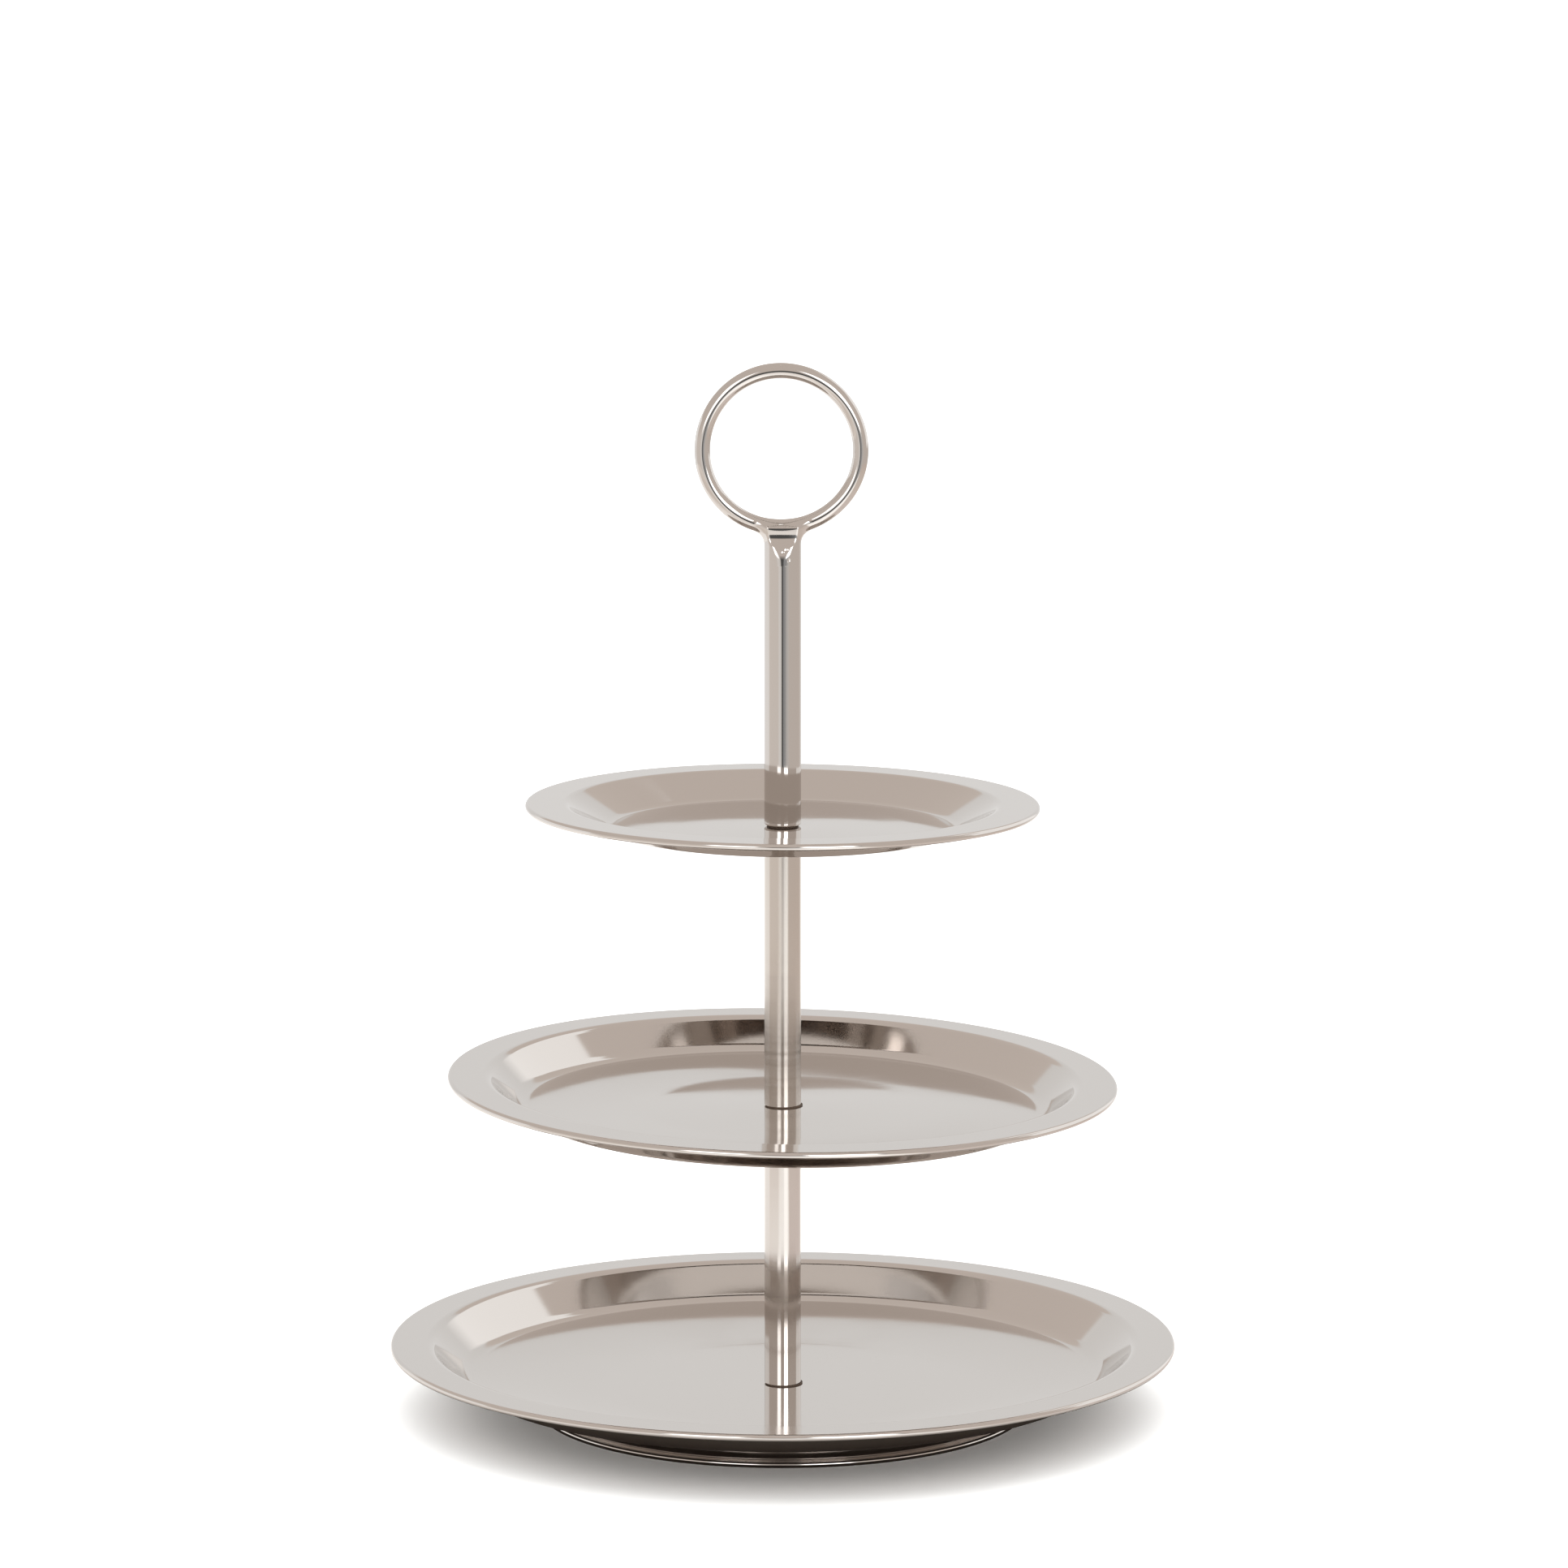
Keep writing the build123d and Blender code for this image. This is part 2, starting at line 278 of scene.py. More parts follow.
def skin(field, low, high, cell):
    """A closed quad mesh on a field's zero level, between two corners, by surface nets."""
    axes = [np.arange(a, b + cell, cell) for a, b in zip(low, high)]
    grid = np.stack(np.meshgrid(*axes, indexing="ij"), axis=-1)
    inside = field(grid) < 0
    corners = sum(
        inside[i : i - 1 or None, j : j - 1 or None, k : k - 1 or None].astype(int)
        for i in (0, 1)
        for j in (0, 1)
        for k in (0, 1)
    )
    active = (corners > 0) & (corners < 8)
    number = np.full(active.shape, -1)
    number[active] = np.arange(active.sum())
    points = grid[:-1, :-1, :-1][active] + cell / 2
    quads = []
    for axis in range(3):
        first, second = [a for a in range(3) if a != axis]
        here = [slice(None)] * 3
        there = [slice(None)] * 3
        here[axis], there[axis] = slice(0, -1), slice(1, None)
        starts, ends = inside[tuple(here)], inside[tuple(there)]
        for crossing, turned in ((starts & ~ends, axis == 1), (ends & ~starts, axis != 1)):
            at = np.argwhere(crossing)
            at = at[(at[:, first] > 0) & (at[:, second] > 0)]
            ring = []
            for a, b in ((-1, -1), (0, -1), (0, 0), (-1, 0)):
                cell_at = at.copy()
                cell_at[:, first] += a
                cell_at[:, second] += b
                ring.append(number[tuple(cell_at.T)])
            quad = np.stack(ring, axis=1)
            quads.append(quad[:, ::-1] if turned else quad)
    quads = np.concatenate(quads)
    edges = np.concatenate([quads[:, [i, (i + 1) % 4]] for i in range(4)])
    edges = np.concatenate([edges, edges[:, ::-1]])
    count = np.bincount(edges[:, 0], minlength=len(points))[:, None]
    points = onto(field, points, cell)
    for _ in range(6):
        total = np.zeros_like(points)
        np.add.at(total, edges[:, 0], points[edges[:, 1]])
        points = onto(field, 0.5 * points + 0.5 * total / count, cell)
    return points, quads


def onto(field, points, cell, steps=4):
    """Moves points onto the field's zero level along its gradient."""
    nudge = cell / 20
    for _ in range(steps):
        value = field(points)
        slope = np.stack(
            [
                (field(points + nudge * axis) - field(points - nudge * axis)) / (2 * nudge)
                for axis in np.eye(3)
            ],
            axis=-1,
        )
        size = np.maximum((slope**2).sum(axis=-1), 0.05)
        points = points - (value / size)[:, None] * slope
    return points


def blend_union(a, b, radius):
    """Union of two distance fields with a fillet between them."""
    share = np.clip(0.5 + 0.5 * (b - a) / radius, 0, 1)
    return b * (1 - share) + a * share - radius * share * (1 - share)


# ---------------------------------------------------------------- materials


def linear(hex_colour):
    """An sRGB hex colour as linear RGBA."""
    values = [int(hex_colour[i : i + 2], 16) / 255 for i in (1, 3, 5)]
    return [v / 12.92 if v <= 0.04045 else ((v + 0.055) / 1.055) ** 2.4 for v in values] + [1]


def add_node(tree, kind, values=None, links=None, **attributes):
    """Adds a node, sets its attributes and input values, and links its inputs from sockets."""
    node = tree.nodes.new(kind)
    for key, value in attributes.items():
        setattr(node, key, value)
    for key, value in (values or {}).items():
        node.inputs[key].default_value = value
    for key, socket in (links or {}).items():
        tree.links.new(socket, node.inputs[key])
    return node


def new_material(name):
    material = bpy.data.materials.new(name)
    material.use_nodes = True
    material.node_tree.nodes.clear()
    return material, material.node_tree


def finish_material(tree, values, links):
    shader = add_node(tree, "ShaderNodeBsdfPrincipled", values, links)
    add_node(tree, "ShaderNodeOutputMaterial", links={"Surface": shader.outputs["BSDF"]})


def stretched_noise(tree, scale, detail=3.0, roughness=0.55):
    """Noise over the object's own coordinates, with a scale for each axis in cycles a metre."""
    place = add_node(tree, "ShaderNodeTexCoord")
    mapping = add_node(
        tree, "ShaderNodeMapping", {"Scale": scale}, {"Vector": place.outputs["Object"]}
    )
    return add_node(
        tree,
        "ShaderNodeTexNoise",
        {"Scale": 1.0, "Detail": detail, "Roughness": roughness},
        {"Vector": mapping.outputs["Vector"]},
    )


def mirror_stainless(name, hex_colour, roughness, haze, scratch_depth):
    """304 stainless, mirror polished on a buffing wheel.

    It mirrors the studio a little warm. Buffing leaves a very slight orange peel about 6 mm
    long, a haze that comes and goes over 30 mm, and hairlines too fine to see one by one.
    """
    material, tree = new_material(name)
    peel = stretched_noise(tree, (160, 160, 160), detail=1.0)
    cloud = stretched_noise(tree, (33, 33, 33), detail=2.0)
    hairline = stretched_noise(tree, (90, 1400, 400), detail=2.0)
    rough = add_node(
        tree,
        "ShaderNodeMapRange",
        {"From Min": 0.35, "From Max": 0.7, "To Min": roughness, "To Max": roughness + haze},
        {"Value": cloud.outputs["Fac"]},
    )
    soft = add_node(
        tree, "ShaderNodeBump", {"Strength": 1.0, "Distance": 0.004 * MM}, {"Height": peel.outputs["Fac"]}
    )
    fine = add_node(
        tree,
        "ShaderNodeBump",
        {"Strength": 1.0, "Distance": scratch_depth},
        {"Height": hairline.outputs["Fac"], "Normal": soft.outputs["Normal"]},
    )
    finish_material(
        tree,
        {"Base Color": linear(hex_colour), "Metallic": 1.0},
        {"Roughness": rough.outputs["Result"], "Normal": fine.outputs["Normal"]},
    )
    return material


def ringed_stainless(name, hex_colour, roughness, scratch_depth, spacing, worn_from, worn_to):
    """304 stainless tube, polished and then rubbed round the tube with fine emery.

    The rings of scratches stretch each highlight along the tube. They are drawn at about
    0.3 mm, coarser than the grit, so that they show.
    """
    material, tree = new_material(name)
    rings = stretched_noise(tree, (25, 25, 1 / spacing), detail=4.0, roughness=0.65)
    groups = stretched_noise(tree, (8, 8, 0.09 / spacing), detail=2.0)
    place = add_node(tree, "ShaderNodeTexCoord")
    split = add_node(tree, "ShaderNodeSeparateXYZ", links={"Vector": place.outputs["Object"]})
    worn = add_node(
        tree,
        "ShaderNodeMapRange",
        {"From Min": worn_from, "From Max": worn_to, "To Min": 0.15, "To Max": 1.0},
        {"Value": split.outputs["Z"]},
    )
    amount = add_node(
        tree,
        "ShaderNodeMath",
        links={0: worn.outputs["Result"], 1: groups.outputs["Fac"]},
        operation="MULTIPLY",
    )
    rough = add_node(
        tree,
        "ShaderNodeMapRange",
        {"From Min": 0.1, "From Max": 0.6, "To Min": roughness * 0.6, "To Max": roughness * 1.3},
        {"Value": amount.outputs["Value"]},
    )
    lines = add_node(
        tree,
        "ShaderNodeMath",
        links={0: rings.outputs["Fac"], 1: amount.outputs["Value"]},
        operation="MULTIPLY",
    )
    bump = add_node(
        tree,
        "ShaderNodeBump",
        {"Strength": 1.0, "Distance": scratch_depth},
        {"Height": lines.outputs["Value"]},
    )
    round_tube = add_node(tree, "ShaderNodeTangent", direction_type="RADIAL", axis="Z")
    finish_material(
        tree,
        {
            "Base Color": linear(hex_colour),
            "Metallic": 1.0,
            "Anisotropic": 0.9,
            "Anisotropic Rotation": 0.25,
        },
        {
            "Roughness": rough.outputs["Result"],
            "Normal": bump.outputs["Normal"],
            "Tangent": round_tube.outputs["Tangent"],
        },
    )
    return material


def turned_steel(name, hex_colour, roughness):
    """Steel off the lathe: rings of tool marks about 0.2 mm apart, with a thin film of oil."""
    material, tree = new_material(name)
    marks = stretched_noise(tree, (60, 60, 5000), detail=2.0)
    bump = add_node(
        tree, "ShaderNodeBump", {"Strength": 1.0, "Distance": 0.01 * MM}, {"Height": marks.outputs["Fac"]}
    )
    rough = add_node(
        tree,
        "ShaderNodeMapRange",
        {"To Min": roughness, "To Max": roughness + 0.12},
        {"Value": marks.outputs["Fac"]},
    )
    finish_material(
        tree,
        {"Base Color": linear(hex_colour), "Metallic": 1.0},
        {"Roughness": rough.outputs["Result"], "Normal": bump.outputs["Normal"]},
    )
    return material


def punched_nylon(name, hex_colour):
    """Nylon, punched from sheet: a dull warm brown with a faint grain that keeps it from shining."""
    material, tree = new_material(name)
    grain = stretched_noise(tree, (2500, 2500, 2500), detail=4.0)
    tint = add_node(
        tree,
        "ShaderNodeMapRange",
        {"From Min": 0.3, "From Max": 0.75, "To Min": 0.5, "To Max": 0.75},
        {"Value": grain.outputs["Fac"]},
    )
    dark = [c * 0.7 for c in linear(hex_colour)[:3]] + [1]
    # on a colour mix, inputs 0, 6 and 7 are the factor and the two colours, and output 2 the result
    blend = add_node(
        tree,
        "ShaderNodeMix",
        {6: dark, 7: linear(hex_colour)},
        {0: grain.outputs["Fac"]},
        data_type="RGBA",
    )
    bump = add_node(
        tree, "ShaderNodeBump", {"Strength": 0.6, "Distance": 0.03 * MM}, {"Height": grain.outputs["Fac"]}
    )
    finish_material(
        tree,
        {"Metallic": 0.0},
        {
            "Base Color": blend.outputs[2],
            "Roughness": tint.outputs["Result"],
            "Normal": bump.outputs["Normal"],
        },
    )
    return material


def plain_surface(name, hex_colour, roughness):
    """Matt paper: it scatters evenly and shows only soft shadows."""
    material, tree = new_material(name)
    fibres = stretched_noise(tree, (900, 900, 900), detail=2.0)
    bump = add_node(
        tree, "ShaderNodeBump", {"Strength": 0.1, "Distance": 0.02 * MM}, {"Height": fibres.outputs["Fac"]}
    )
    finish_material(
        tree,
        {"Base Color": linear(hex_colour), "Roughness": roughness, "Specular IOR Level": 0.0},
        {"Normal": bump.outputs["Normal"]},
    )
    return material


def give_cad_material(node, material):
    """A CAD node keeps its shape and gets this material."""
    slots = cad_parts[node].material_slots
    for entry in slots:
        entry.link = "OBJECT"
        entry.material = material


# ---------------------------------------------------------------- pieces


class STAND_OT_plates(bpy.types.Operator):
    """Adds the three pressed plates with their rolled edges"""

    bl_idname = "stand.plates"
    bl_label = "Pressed plates"

    def execute(self, context):
        sizes, finish, _ = settings()
        steel = mirror_stainless(
            "stainless_304_pressed_and_buffed", finish.steel, finish.polish, 0.03, 0.0006 * MM
        )
        for number, (node, floor) in enumerate(PLATE_FLOORS.items()):
            low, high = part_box(node)
            outer = round((high[0] - low[0]) / MM) * MM / 2
            rim = high[2]
            upper = [(radius * MM, low[2] + sizes.sheet + rise * MM) for radius, rise in floor]
            upper += [(outer - sizes.rim_width, rim), (outer - sizes.curl, rim)]
            bends = [sizes.sweep] * (len(floor) - 2) + [sizes.floor_bend, sizes.rim_bend]
            phase = 1.7 * number
            right, back = PLATE_LEANS[node]

            def warp(radius, height, angle):
                """The sheet's small errors: a rim that leans and ripples, a dimple at the post."""
                far = radius / outer
                wave = np.cos(2 * angle + phase) + 0.6 * np.cos(3 * angle - 2 * phase)
                ripple = 0.25 * np.cos(7 * angle + 3 * phase) + 0.12 * np.cos(13 * angle - phase)
                lift = sizes.waviness * far**2 * wave + 0.5 * sizes.waviness * far**4 * ripple
                free = np.clip((radius - 50 * MM) / (outer - 80 * MM), 0, 1)
                lean = radius * (right * np.cos(angle) + back * np.sin(angle)) * free**2 * (3 - 2 * free)
                return lift + lean - sizes.dimple * np.exp(-((radius / (11 * MM)) ** 2))

            outline = pressing(upper, bends, sizes.curl, sizes.sheet)
            vertices, faces = lathe(outline, PLATE_STEPS, warp)
            piece = new_piece(
                f"{node}_pressing", vertices, faces, PLATE_BODIES[node], steel
            )
            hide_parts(node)
        return {"FINISHED"}


class STAND_OT_foot(bpy.types.Operator):
    """Adds the low dish that the stand stands on"""

    bl_idname = "stand.foot"
    bl_label = "Foot"

    def execute(self, context):
        sizes, finish, _ = settings()
        steel = mirror_stainless(
            "stainless_304_spun_and_buffed", finish.steel, finish.polish, 0.05, 0.001 * MM
        )
        low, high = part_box("foot")
        outer, top = round((high[0] - low[0]) / 2 / MM) * MM, high[2]
        worn = 0.1 * MM
        rim = 2 * sizes.foot_curl - worn
        rim_edge = outer - sizes.foot_rim
        upper = [
            (3.3 * MM, top),
            (rim_edge - sizes.foot_wall, top),
            (rim_edge, rim),
            (outer - sizes.foot_curl, rim),
        ]
        outline = pressing(upper, [sizes.foot_bend] * 2, sizes.foot_curl, sizes.sheet)
        outline = [(r, max(z, low[2])) for r, z in outline]
        vertices, faces = lathe(outline, 240)
        piece = new_piece("foot_pressing", vertices, faces, "base", steel)
        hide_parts("foot")
        return {"FINISHED"}


class STAND_OT_posts(bpy.types.Operator):
    """Adds the three tube posts"""

    bl_idname = "stand.posts"
    bl_label = "Posts"

    def execute(self, context):
        sizes, finish, _ = settings()
        low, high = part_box("middle_post")
        polished = mirror_stainless(
            "stainless_304_tube_polished", finish.steel, finish.polish * 0.6, 0.02, 0.0008 * MM
        )
        brushed = ringed_stainless(
            "stainless_304_tube_brushed", finish.brushed, finish.brush, 0.012 * MM, 0.3 * MM,
            high[2] - 40 * MM, low[2] + 20 * MM,
        )
        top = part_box("lower_post")[1][2]
        worn = ringed_stainless(
            "stainless_304_tube_worn", finish.steel, 0.09, 0.006 * MM, 0.3 * MM,
            top - 75 * MM, top,
        )
        edges = {"lower_post": 0.12 * MM, "middle_post": 0.12 * MM, "upper_post": 0.9 * MM}
        looks = {
            "lower_post": (worn, "polished_stainless"),
            "middle_post": (brushed, "brushed_stainless"),
            "upper_post": (polished, "polished_stainless"),
        }
        for node in POSTS:
            low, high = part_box(node)
            outer = POST_RADIUS
            bore = outer - sizes.tube_wall
            edge = edges[node]
            outline = (
                arc((outer - edge, low[2] + edge), edge, -90, 0, 8)
                + [(outer, low[2] + edge + 0.3 * MM), (outer, (low[2] + high[2]) / 2)]
                + [(outer, high[2] - 0.2 * MM), (outer, high[2])]
                + [(bore, high[2]), (bore, low[2])]
            )
            vertices, faces = lathe(outline, 192)
            material, slot = looks[node]
            piece = new_piece(f"{node}_tube", vertices, faces, POST_BODIES[node], material)
            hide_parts(node)
        return {"FINISHED"}


class STAND_OT_handle(bpy.types.Operator):
    """Adds the ring with the weld that is ground into it"""

    bl_idname = "stand.handle"
    bl_label = "Ring handle"

    def execute(self, context):
        sizes, finish, _ = settings()
        ring_low, ring_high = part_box("handle_ring")
        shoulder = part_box("upper_post")[1][2]
        bar = sizes.bar
        mean = (ring_high[2] - ring_low[2]) / 2 - bar
        centre = (ring_high[2] + ring_low[2]) / 2
        under = ring_low[2]

        def handle_field(p):
            """Distance, in metres, from the ring and its weld. Negative is inside."""
            x, y, z = p[..., 0], p[..., 1], p[..., 2]
            off = x + 0.5 * MM
            angle = np.arctan2(z - centre, off)
            true = mean + 0.12 * MM * np.cos(3 * angle + 1) + 0.1 * MM * np.cos(2 * angle)
            ring = np.hypot(np.hypot(off, z - centre) - true, y) - bar
            tucked = 0.03 * MM * (1 - np.clip((z - shoulder + 0.4 * MM) / (0.6 * MM), 0, 1))
            stub = np.hypot(x, y) - (7 * MM - tucked)
            # ground away front and back: convex up to a crease, then hollow up to the ring
            up = np.clip(z - shoulder, 0, 12 * MM) / MM
            crease = 7.3
            over = np.clip(up - crease, 0, None)
            half = 7.05 - 0.0245 * np.minimum(up, crease) ** 2 - 0.60 * over + 0.055 * over**2
            ground = (np.abs(y) - half * MM) * 0.93
            stub = -blend_union(-stub, -ground, 0.5 * MM)
            stub = np.maximum(stub, z - (under + bar))
            stub = np.maximum(stub, shoulder - 4 * MM - z)
            pits = [(1.5, 6.0, 0.45), (2.4, 2.2, 0.4), (0.2, 5.2, 0.3)]
            for across, above, size in pits:
                pit = np.hypot(x - across * MM, z - shoulder - above * MM) / (size * MM)
                stub = stub + 0.18 * MM * np.exp(-(pit**2)) * (y < 0)
            return blend_union(ring, stub, 1.4 * sizes.weld)

        reach = 1.5 * MM
        low = (ring_low[0] - reach, -8.5 * MM, shoulder - 4 * MM - reach)
        high = (ring_high[0] + reach, 8.5 * MM, ring_high[2] + reach)
        vertices, faces = skin(handle_field, low, high, 0.35 * MM)
        steel = mirror_stainless(
            "stainless_304_bar_ground_and_polished", finish.steel, finish.polish * 0.8, 0.03, 0.001 * MM
        )
        piece = new_piece(
            "handle_ring_and_weld", vertices, faces, "handle", steel, sharp=60
        )
        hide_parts("handle_ring", "handle_neck")
        return {"FINISHED"}


class STAND_OT_studs(bpy.types.Operator):
    """Adds the threaded studs that join the posts, and finishes the plugs that take them"""

    bl_idname = "stand.studs"
    bl_label = "Studs and plugs"

    def execute(self, context):
        sizes, finish, _ = settings()
        steel = turned_steel("stainless_304_turned", finish.cut_steel, 0.28)
        for node, body in (("middle_stud", "middle_post"), ("upper_stud", "handle")):
            low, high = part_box(node)
            vertices, faces = threaded_rod(STUD_RADIUS, sizes.pitch, 0.55 * MM, low[2], high[2])
            piece = new_piece(f"{node}_thread", vertices, faces, body, steel)
            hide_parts(node)
        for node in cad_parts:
            if node.endswith("_plug"):
                give_cad_material(node, steel)
        return {"FINISHED"}


class STAND_OT_washers(bpy.types.Operator):
    """Finishes the nylon washers under the posts"""

    bl_idname = "stand.washers"
    bl_label = "Washers"

    def execute(self, context):
        finish = settings()[1]
        nylon = punched_nylon("nylon_66_punched", finish.nylon)
        for node in ("lower_washer", "middle_washer", "upper_washer"):
            give_cad_material(node, nylon)
        return {"FINISHED"}


class STAND_OT_fastening(bpy.types.Operator):
    """Finishes the screw and washers under the foot"""

    bl_idname = "stand.fastening"
    bl_label = "Foot screw"

    def execute(self, context):
        finish = settings()[1]
        zinc = turned_steel("mild_steel_bright_zinc_plated", finish.zinc, 0.2)
        for node in ("foot_screw", "lock_washer", "foot_washer"):
            give_cad_material(node, zinc)
        return {"FINISHED"}


# ---------------------------------------------------------------- stage


# What the steel mirrors of the board, in rows by distance from the posts in metres, as (degrees from the
# front, turning to the right; red, green, blue). Under the plates it is near black, a painted shadow.
# Further out lies white paper with a painted highlight a little right of the front, and it turns darker and
# warmer on the right.
BOARD_TONES_AND_PAINTED_LIGHT = {
    # painted shadow: under the plates the board is near black
    0.0: ((-180, 0.10, 0.08, 0.07), (180, 0.10, 0.08, 0.07)),
    0.12: ((-180, 0.12, 0.10, 0.085), (180, 0.12, 0.10, 0.085)),
    0.17: ((-180, 0.60, 0.57, 0.54), (180, 0.60, 0.57, 0.54)),
    # in this row and the rows further out, the brighter band a little right of the front is a painted
    # highlight
    0.25: (
        (-180, 0.72, 0.70, 0.68), (-90, 0.76, 0.73, 0.70), (-30, 0.78, 0.76, 0.73),
        (-18, 0.88, 0.87, 0.85), (5, 0.88, 0.87, 0.85), (12, 0.99, 0.98, 0.96),
        (25, 0.99, 0.98, 0.96), (36, 0.88, 0.86, 0.83), (43, 0.55, 0.49, 0.46),
        (126, 0.55, 0.49, 0.46), (156, 0.70, 0.68, 0.66), (180, 0.72, 0.70, 0.68),
    ),
    0.60: (
        (-180, 0.72, 0.70, 0.68), (-95, 0.74, 0.72, 0.70), (-85, 0.52, 0.47, 0.43),
        (-30, 0.50, 0.45, 0.41), (-18, 0.66, 0.62, 0.58), (5, 0.72, 0.70, 0.68),
        (12, 0.94, 0.93, 0.91), (28, 0.94, 0.93, 0.91), (38, 0.50, 0.45, 0.41),
        (126, 0.47, 0.41, 0.37), (156, 0.70, 0.68, 0.66), (180, 0.72, 0.70, 0.68),
    ),
    1.35: (
        (-180, 0.72, 0.70, 0.68), (-95, 0.74, 0.72, 0.70), (-85, 0.60, 0.56, 0.52),
        (-30, 0.60, 0.56, 0.52), (-18, 0.66, 0.64, 0.61), (5, 0.60, 0.58, 0.56),
        (12, 0.88, 0.87, 0.85), (28, 0.88, 0.87, 0.85), (38, 0.45, 0.39, 0.35),
        (126, 0.43, 0.37, 0.33), (156, 0.70, 0.68, 0.66), (180, 0.72, 0.70, 0.68),
    ),
}
# The room just below eye level: pale on the left, dim behind the camera, warm on the right.
ROOM_LOW = (
    (-180, 1.00, 0.99, 0.98), (-150, 1.05, 1.04, 1.03), (-96, 1.08, 1.06, 1.04),
    (-88, 0.86, 0.80, 0.75), (-30, 0.85, 0.79, 0.74), (-20, 0.95, 0.93, 0.91),
    (-8, 0.85, 0.83, 0.80), (-5, 0.10, 0.10, 0.10), (2, 0.10, 0.10, 0.10),
    (4, 0.36, 0.37, 0.38), (14, 0.38, 0.385, 0.39), (22, 0.60, 0.59, 0.58),
    (34, 0.72, 0.69, 0.66), (42, 0.72, 0.66, 0.61), (126, 0.72, 0.65, 0.60),
    (145, 0.85, 0.82, 0.79), (158, 0.97, 0.95, 0.93), (180, 1.00, 0.99, 0.98),
)
ROOM_HIGH = (0.735, 0.66, 0.605)
# How high the white wall and the softbox reach, by direction, and how bright they are.
WHITE_TOP = (
    (-180, 24), (-148, 24), (-145, 17), (-96, 17.5), (-92, -5), (92, -5),
    (96, 33), (118, 36), (124, 49), (150, 49), (152, 24), (180, 24),
)
WHITE_GLOW = (
    (-180, 0.85), (-148, 0.87), (-140, 1.12), (-96, 1.12),
    (96, 1.22), (150, 1.22), (156, 0.87), (180, 0.85),
)
# Two soft lights above eye level, either side of the camera, the right one much brighter.
FRONT_GLOW = (
    (-180, 0), (-36, 0), (-31, 2.6), (-13, 2.6), (-9, 0),
    (7, 0), (11, 4), (30, 4), (35, 0), (180, 0),
)


def read_knots(knots, at):
    """Values, one row for each angle, between the rows of knots."""
    table = np.array(knots, float)
    return np.stack([np.interp(at, table[:, 0], table[:, k]) for k in range(1, table.shape[1])], -1)


def room_light(turn, height):
    """Colours of the room in directions given in degrees."""
    low = read_knots(ROOM_LOW, turn)
    high = np.array(ROOM_HIGH) * np.ones((len(turn), 3))
    rise = np.clip((height - 2) / 10, 0, 1)[:, None]
    colours = low * (1 - rise) + high * rise
    top = read_knots(WHITE_TOP, turn)[:, 0]
    white = read_knots(WHITE_GLOW, turn) * np.array((1, 0.99, 0.975))
    share = np.clip((top - height) / 1.5, 0, 1)[:, None] * np.clip((height + 4) / 4, 0, 1)[:, None]
    colours = colours * (1 - share) + white * share
    front = read_knots(FRONT_GLOW, turn)
    lit = (np.clip((height - 1) / 3, 0, 1) * np.clip((32 - height) / 6, 0, 1))[:, None]
    return np.where(front > 0, colours * (1 - lit) + np.maximum(front, 0.1) * lit, colours)


def tinted_mesh(name, vertices, faces, colours):
    """A mesh that carries a colour for each of its points."""
    mesh = bpy.data.meshes.new(name)
    mesh.from_pydata([tuple(v) for v in vertices], [], faces)
    layer = mesh.color_attributes.new("tint", "FLOAT_COLOR", "POINT")
    layer.data.foreach_set("color", np.c_[colours, np.ones(len(vertices))].astype(np.float32).ravel())
    return mesh


def add_only_mirrored(name, mesh):
    """A thing of the studio that only the steel sees."""
    obj = bpy.data.objects.new(name, mesh)
    bpy.context.scene.collection.objects.link(obj)
    obj.visible_camera = False
    obj.visible_diffuse = False
    obj.visible_shadow = False
    obj.visible_transmission = False
    obj.visible_volume_scatter = False
    return obj


def rings_of_faces(rings, steps):
    """Quads between neighbouring rings of points."""
    return [
        (a * steps + i, a * steps + (i + 1) % steps, (a + 1) * steps + (i + 1) % steps, (a + 1) * steps + i)
        for a in range(rings - 1)
        for i in range(steps)
    ]


def add_room():
    """The walls and ceiling, glowing as bright as each part of the studio is."""
    steps, reach = 240, 6.0
    turns = -180 + 360 * np.arange(steps) / steps
    heights = np.concatenate([np.arange(-40, 60, 1.0), np.arange(60, 90, 5.0), [89.5]])
    turn, height = np.meshgrid(turns, heights)
    turn, height = turn.ravel(), height.ravel()
    side, up = np.radians(turn), np.radians(height)
    vertices = np.stack(
        [
            reach * np.sin(side) * np.cos(up),
            -reach * np.cos(side) * np.cos(up),
            0.2 + reach * np.sin(up),
        ],
        -1,
    )
    mesh = tinted_mesh("room", vertices, rings_of_faces(len(heights), steps), room_light(turn, height))
    material, tree = new_material("lit_studio_walls")
    tint = add_node(tree, "ShaderNodeAttribute", attribute_name="tint")
    glow = add_node(tree, "ShaderNodeEmission", links={"Color": tint.outputs["Color"]})
    add_node(tree, "ShaderNodeOutputMaterial", links={"Surface": glow.outputs["Emission"]})
    mesh.materials.append(material)
    add_only_mirrored("room", mesh)


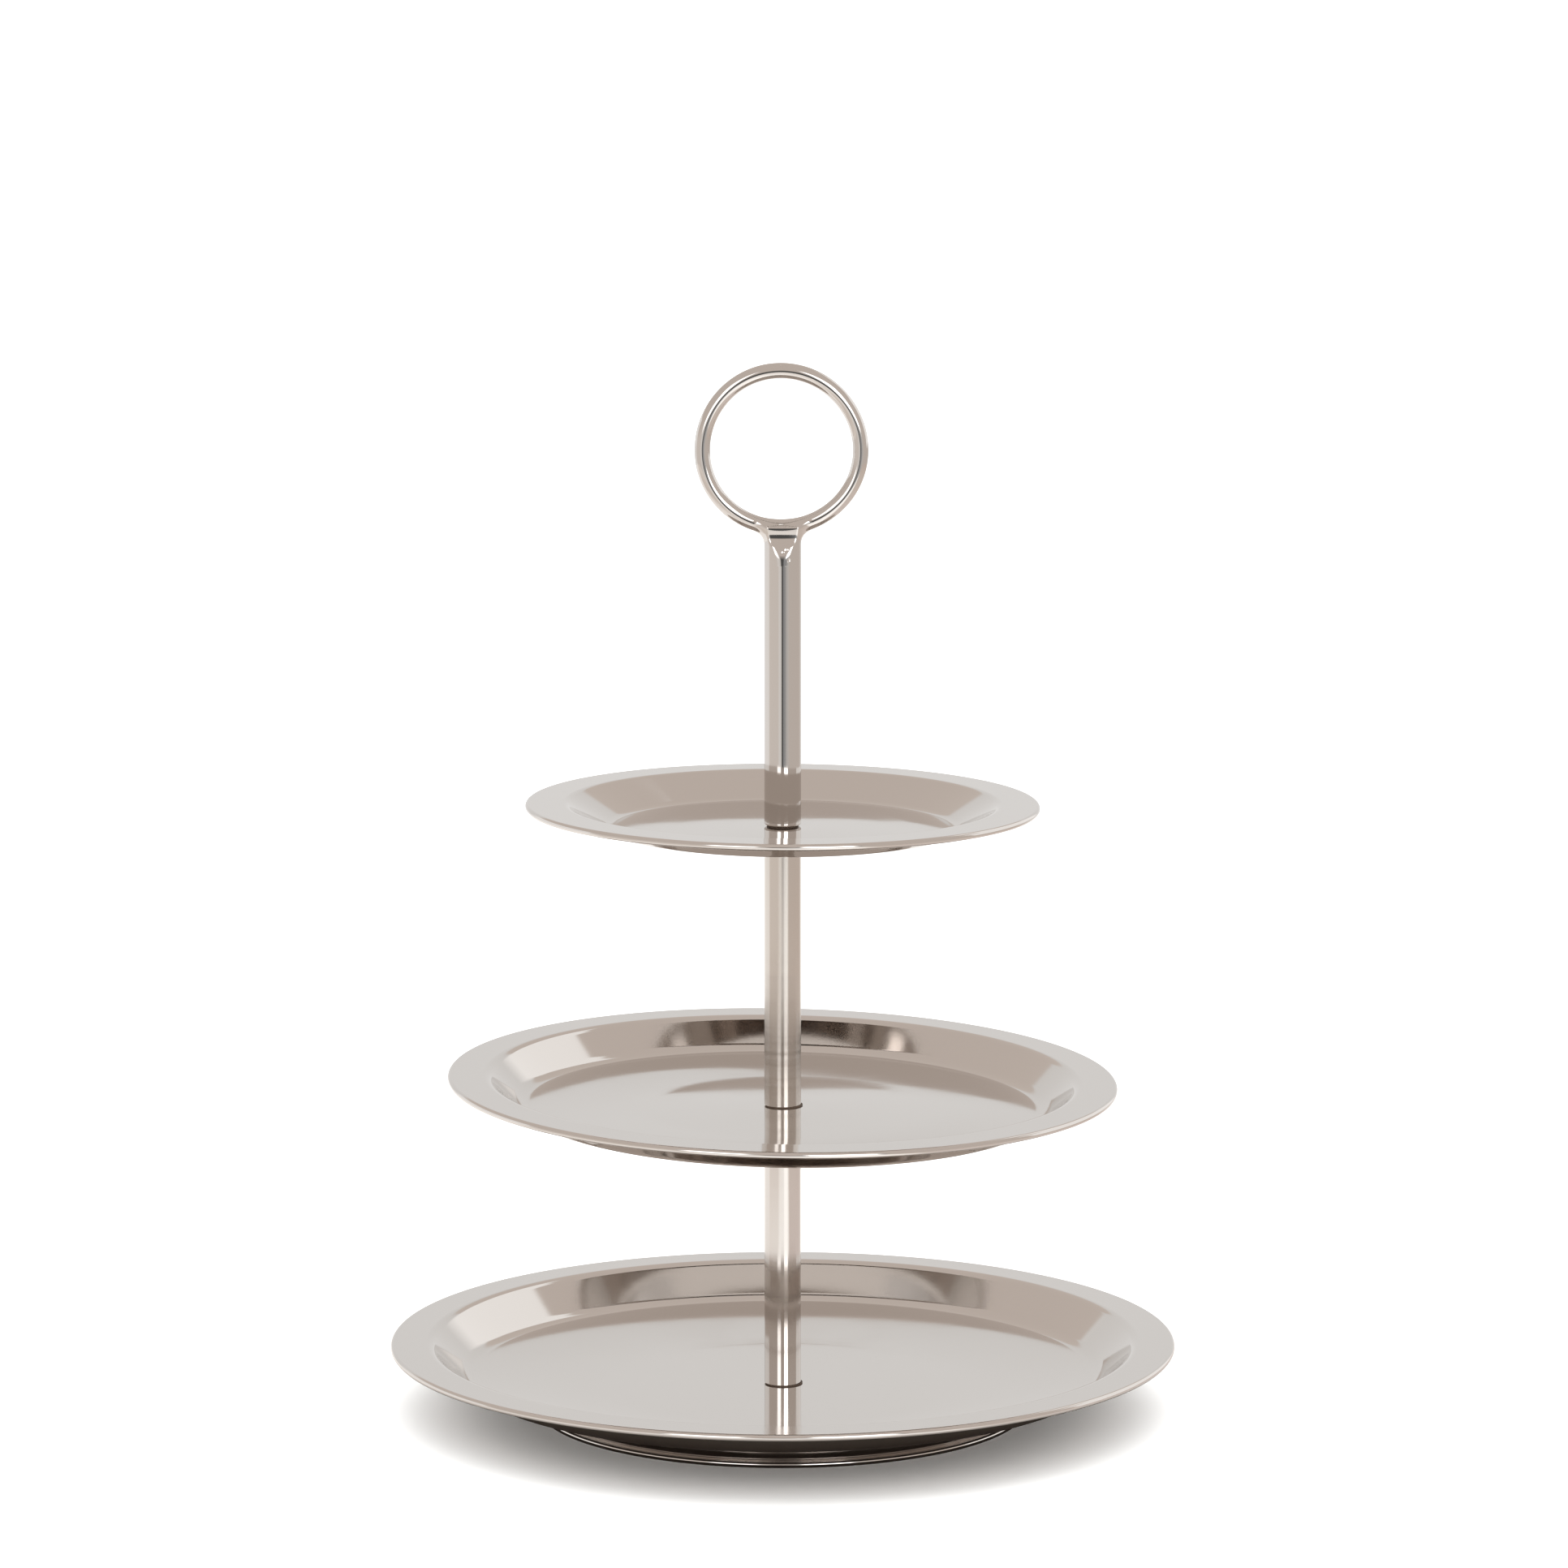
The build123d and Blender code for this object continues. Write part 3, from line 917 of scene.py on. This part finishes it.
def add_board():
    """The board and paper that the stand stands on, as the steel sees them, painted near black under the
    stand as painted shadow and with a painted highlight in front.
    """
    steps = 144
    turns = -180 + 360 * np.arange(steps) / steps
    reaches = np.array([0.001, 0.06, 0.12, 0.15, 0.18, 0.25, 0.35, 0.45, 0.6, 0.8, 1.0, 1.2, 1.35])
    names = sorted(BOARD_TONES_AND_PAINTED_LIGHT)
    layers = np.stack([read_knots(BOARD_TONES_AND_PAINTED_LIGHT[r], turns) for r in names])
    vertices, colours = [], []
    for reach in reaches:
        for i, turn in enumerate(np.radians(turns)):
            vertices.append((reach * math.sin(turn), -reach * math.cos(turn), -0.2 * MM))
            # each point's tone comes from the board rows, painted shadow and painted highlight included,
            # taken down to 0.8
            colours.append([0.8 * np.interp(reach, names, layers[:, i, k]) for k in range(3)])
    mesh = tinted_mesh("board", vertices, rings_of_faces(len(reaches), steps), np.array(colours))
    material, tree = new_material("board_matt_with_painted_shade_and_highlight")
    tint = add_node(tree, "ShaderNodeAttribute", attribute_name="tint")
    finish_material(
        tree, {"Roughness": 1.0, "Specular IOR Level": 0.0}, {"Base Color": tint.outputs["Color"]}
    )
    mesh.materials.append(material)
    add_only_mirrored("board", mesh)


class STAND_OT_stage(bpy.types.Operator):
    """Adds the white sweep, the studio round it, the softbox and the camera"""

    bl_idname = "stand.stage"
    bl_label = "Stage"

    def execute(self, context):
        _, finish, studio = settings()
        scene = context.scene
        collection = scene.collection

        world = bpy.data.worlds.new("white studio")
        world.use_nodes = True
        light = world.node_tree.nodes["Background"]
        light.inputs["Color"].default_value = (1, 1, 1, 1)
        light.inputs["Strength"].default_value = studio.ambient
        scene.world = world

        side = 30
        floor_mesh = bpy.data.meshes.new("sweep")
        floor_mesh.from_pydata(
            [(-side, -side, 0), (side, -side, 0), (side, side, 0), (-side, side, 0)], [], [(0, 1, 2, 3)]
        )
        floor_mesh.materials.append(plain_surface("paper_sweep_matt", finish.paper, 1.0))
        sweep = bpy.data.objects.new("sweep", floor_mesh)
        collection.objects.link(sweep)
        sweep.visible_glossy = False
        sweep.visible_shadow = False
        sweep.visible_diffuse = False
        add_room()
        add_board()

        box = bpy.data.lights.new("overhead", "AREA")
        box.shape = "RECTANGLE"
        box.size, box.size_y = 3.0, 3.0
        box.energy = studio.overhead
        overhead = bpy.data.objects.new("overhead", box)
        overhead.location = (0.3, 0.2, 2.5)
        overhead.visible_glossy = False
        overhead.visible_camera = False
        collection.objects.link(overhead)

        data = bpy.data.cameras.new("camera")
        data.lens = studio.lens
        data.sensor_width = 36
        data.clip_end = 100
        camera = bpy.data.objects.new("camera", data)
        camera.location = (0.5 * MM, -studio.distance, studio.height)
        camera.rotation_euler = (math.pi / 2 - studio.pitch, 0, 0)
        collection.objects.link(camera)
        scene.camera = camera
        scene.view_settings.view_transform = "Standard"
        # facing mirrors pass light back and forth; with fewer bounces the gaps between tiers go black
        scene.cycles.max_bounces = 16
        scene.cycles.glossy_bounces = 12
        return {"FINISHED"}


# ---------------------------------------------------------------- panel and registration


OPERATORS = (
    STAND_OT_stage,
    STAND_OT_plates,
    STAND_OT_foot,
    STAND_OT_posts,
    STAND_OT_handle,
    STAND_OT_studs,
    STAND_OT_washers,
    STAND_OT_fastening,
)


class STAND_PT_panel(bpy.types.Panel):
    """Lists the stand's pieces"""

    bl_idname = "STAND_PT_panel"
    bl_label = "Tiered stand"
    bl_space_type = "VIEW_3D"
    bl_region_type = "UI"
    bl_category = "Stand"

    def draw(self, context):
        for operator in OPERATORS:
            self.layout.operator(operator.bl_idname)
        for group in settings():
            for name in group.bl_rna.properties.keys():
                if name not in ("rna_type", "name"):
                    self.layout.prop(group, name)


GROUPS = {"stand_sizes": StandSizes, "stand_finish": StandFinish, "stand_studio": StandStudio}


def register():
    for cls in (*GROUPS.values(), *OPERATORS, STAND_PT_panel):
        bpy.utils.register_class(cls)
    for name, group in GROUPS.items():
        setattr(bpy.types.Scene, name, bpy.props.PointerProperty(type=group))


def unregister():
    for name in GROUPS:
        delattr(bpy.types.Scene, name)
    for cls in (STAND_PT_panel, *OPERATORS, *GROUPS.values()):
        bpy.utils.unregister_class(cls)


def main():
    register()
    for operator in OPERATORS:
        family, call = operator.bl_idname.split(".")
        getattr(getattr(bpy.ops, family), call)()


if __name__ == "__main__":
    main()
